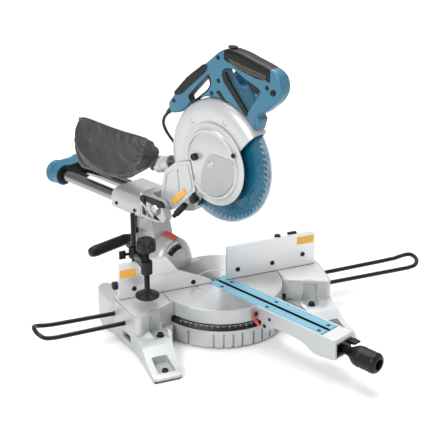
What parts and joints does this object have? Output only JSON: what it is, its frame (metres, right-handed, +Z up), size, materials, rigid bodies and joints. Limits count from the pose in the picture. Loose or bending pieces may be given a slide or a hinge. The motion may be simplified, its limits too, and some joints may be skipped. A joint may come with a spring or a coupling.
{
  "type": "mitre saw",
  "caption": "Sliding compound mitre saw on its own cast base, with side work holders, a clamp vise, a tilting head on two slide poles, a see-through guard and a dust bag.",
  "frame": {"origin": "on the ground, under the middle of the object's bounding box without its mains lead", "axes": "+Z up, +X to the right along the fence, -Y towards the operator; the turntable is set 22.5 degrees to the right at rest"},
  "size_m": [0.9406, 0.9524, 0.636],
  "materials": {
    "cast_aluminium": "die-cast aluminium with a fine silver-grey coat, slightly rough",
    "machined_aluminium": "milled and polished fence face",
    "white_casting": "off-white satin paint",
    "black_plastic": "moulded black plastic",
    "charcoal_rubber": "soft over-moulded grip, fine texture",
    "blue_plastic": "moulded teal-blue housing",
    "pale_blue_plastic": "light blue kerf boards",
    "clear_blue_plastic": "see-through blue guard plastic",
    "red_plastic": "red pointer",
    "polished_steel": "ground and plated slide poles",
    "steel": "brushed steel",
    "black_steel": "blackened steel rod",
    "dark_cloth": "woven dust bag cloth",
    "black_cord": "black rubber cord"
  },
  "bodies": {
    "base": {"base_casting": "cast_aluminium", "front_foot_pad_left": "black_plastic", "front_foot_pad_right": "black_plastic", "mitre_scale": "black_plastic", "fence_left": "machined_aluminium", "vise_rod": "black_steel"},
    "left_sub_fence": {"sub_fence_left": "machined_aluminium", "sub_fence_knob_left": "black_plastic"},
    "right_sub_fence": {"sub_fence_right": "machined_aluminium", "sub_fence_knob_right": "black_plastic"},
    "left_holder": {"work_holder_left": "black_steel"},
    "right_holder": {"work_holder_right": "black_steel"},
    "vise_clamp": {"vise_arm": "black_steel"},
    "vise_screw": {"vise_feed_screw": "black_steel", "vise_pad": "black_steel"},
    "turntable_set": {"turntable": "cast_aluminium", "kerf_board_left": "pale_blue_plastic", "kerf_board_right": "pale_blue_plastic", "mitre_pointer": "red_plastic", "bevel_scale": "black_plastic", "front_insert": "black_plastic", "bevel_pivot_shaft": "steel", "cord_gland": "black_plastic", "cord_run": "black_cord", "cord_coil": "black_cord", "mains_plug": "black_plastic"},
    "mitre_lock": {"mitre_grip": "black_plastic"},
    "detent": {"detent_lever": "black_plastic"},
    "column": {"bevel_column": "cast_aluminium", "bevel_pointer": "red_plastic"},
    "bevel_lock": {"bevel_lever": "black_plastic"},
    "carriage": {"slide_pole_left": "polished_steel", "slide_pole_right": "polished_steel", "pole_end_cap": "black_plastic", "pole_end_cover": "blue_plastic", "slide_carriage": "cast_aluminium", "hinge_pin": "steel"},
    "head": {"head_arm": "white_casting", "upper_guard": "white_casting", "centre_cover": "white_casting", "cover_bolt": "steel", "cover_thumb_bolt": "black_plastic", "gear_case": "blue_plastic", "motor_housing": "blue_plastic", "handle_housing": "blue_plastic", "main_grip": "charcoal_rubber", "carry_grip": "charcoal_rubber", "top_wing_screw": "steel", "stop_damper": "black_plastic", "dust_nozzle": "black_plastic", "dust_bag": "dark_cloth", "strain_relief": "black_plastic", "head_lead": "black_cord"},
    "switch_trigger": {"trigger": "black_plastic"},
    "lock_button": {"lock_off_button": "black_plastic"},
    "blade": {"saw_blade": "steel", "flange_outer": "steel", "arbor_shaft": "steel", "arbor_bolt": "steel"},
    "guard": {"lower_guard": "clear_blue_plastic"}
  },
  "joints": [
    {"name": "mitre", "type": "hinge", "parent": "base", "child": "turntable_set", "pos_m": [-0.03498, -0.06117, 0.09], "axis": [0, 0, 1], "range_deg": [-69.5, 34]},
    {"name": "bevel", "type": "hinge", "parent": "turntable_set", "child": "column", "pos_m": [-0.10769, 0.11437, 0.09], "axis": [-0.3827, 0.9239, 0], "range_deg": [-28, 30]},
    {"name": "slide", "type": "slide", "parent": "column", "child": "carriage", "axis": [0.3827, -0.9239, 0], "range_m": [0, 0.203]},
    {"name": "chop", "type": "hinge", "parent": "carriage", "child": "head", "pos_m": [-0.09238, 0.07742, 0.24], "axis": [0.9239, 0.3827, 0], "range_deg": [0, 50], "stiffness_Nm_per_rad": 9, "springref_deg": -126.05},
    {"name": "guard_opening", "type": "hinge", "parent": "head", "child": "guard", "pos_m": [-0.03307, -0.06578, 0.38], "axis": [-0.9239, -0.3827, 0], "range_deg": [0, 150]},
    {"name": "blade_spin", "type": "hinge", "parent": "head", "child": "blade", "pos_m": [-0.03307, -0.06578, 0.38], "axis": [0.9239, 0.3827, 0], "continuous": true},
    {"name": "trigger_pull", "type": "hinge", "parent": "head", "child": "switch_trigger", "pos_m": [-0.00325, -0.13516, 0.584], "axis": [-0.9239, -0.3827, 0], "range_deg": [0, 5], "stiffness_Nm_per_rad": 0.6, "springref_deg": -11.46},
    {"name": "lock_button_push", "type": "slide", "parent": "head", "child": "lock_button", "axis": [0.9239, 0.3827, 0], "range_m": [0, 0.004], "stiffness_N_per_m": 300, "springref_m": -0.003},
    {"name": "mitre_lock_turn", "type": "hinge", "parent": "turntable_set", "child": "mitre_lock", "pos_m": [0.11809, -0.43072, 0.062], "axis": [0.3827, -0.9239, 0], "range_deg": [-60, 60]},
    {"name": "detent_press", "type": "hinge", "parent": "turntable_set", "child": "detent", "pos_m": [0.11474, -0.3808, 0.076], "axis": [0.9239, 0.3827, 0], "range_deg": [0, 6], "stiffness_Nm_per_rad": 0.6, "springref_deg": -11.46},
    {"name": "bevel_lock_turn", "type": "hinge", "parent": "column", "child": "bevel_lock", "pos_m": [-0.13715, 0.18551, 0.124], "axis": [0.3827, -0.9239, 0], "range_deg": [-25, 25]},
    {"name": "left_sub_fence_slide", "type": "slide", "parent": "base", "child": "left_sub_fence", "axis": [-1, 0, 0], "range_m": [0, 0.05]},
    {"name": "right_sub_fence_slide", "type": "slide", "parent": "base", "child": "right_sub_fence", "axis": [1, 0, 0], "range_m": [0, 0.03]},
    {"name": "left_holder_slide", "type": "slide", "parent": "base", "child": "left_holder", "axis": [-1, 0, 0], "range_m": [0, 0.06]},
    {"name": "right_holder_slide", "type": "slide", "parent": "base", "child": "right_holder", "axis": [1, 0, 0], "range_m": [0, 0.06]},
    {"name": "vise_arm_slide", "type": "slide", "parent": "base", "child": "vise_clamp", "axis": [0, 0, 1], "range_m": [0, 0.07]},
    {"name": "vise_screw_feed", "type": "slide", "parent": "vise_clamp", "child": "vise_screw", "axis": [0, 0, -1], "range_m": [0, 0.018]}
  ],
  "couplings": [
    {"joint": "guard_opening", "follows": "chop", "ratio": 3}
  ]
}
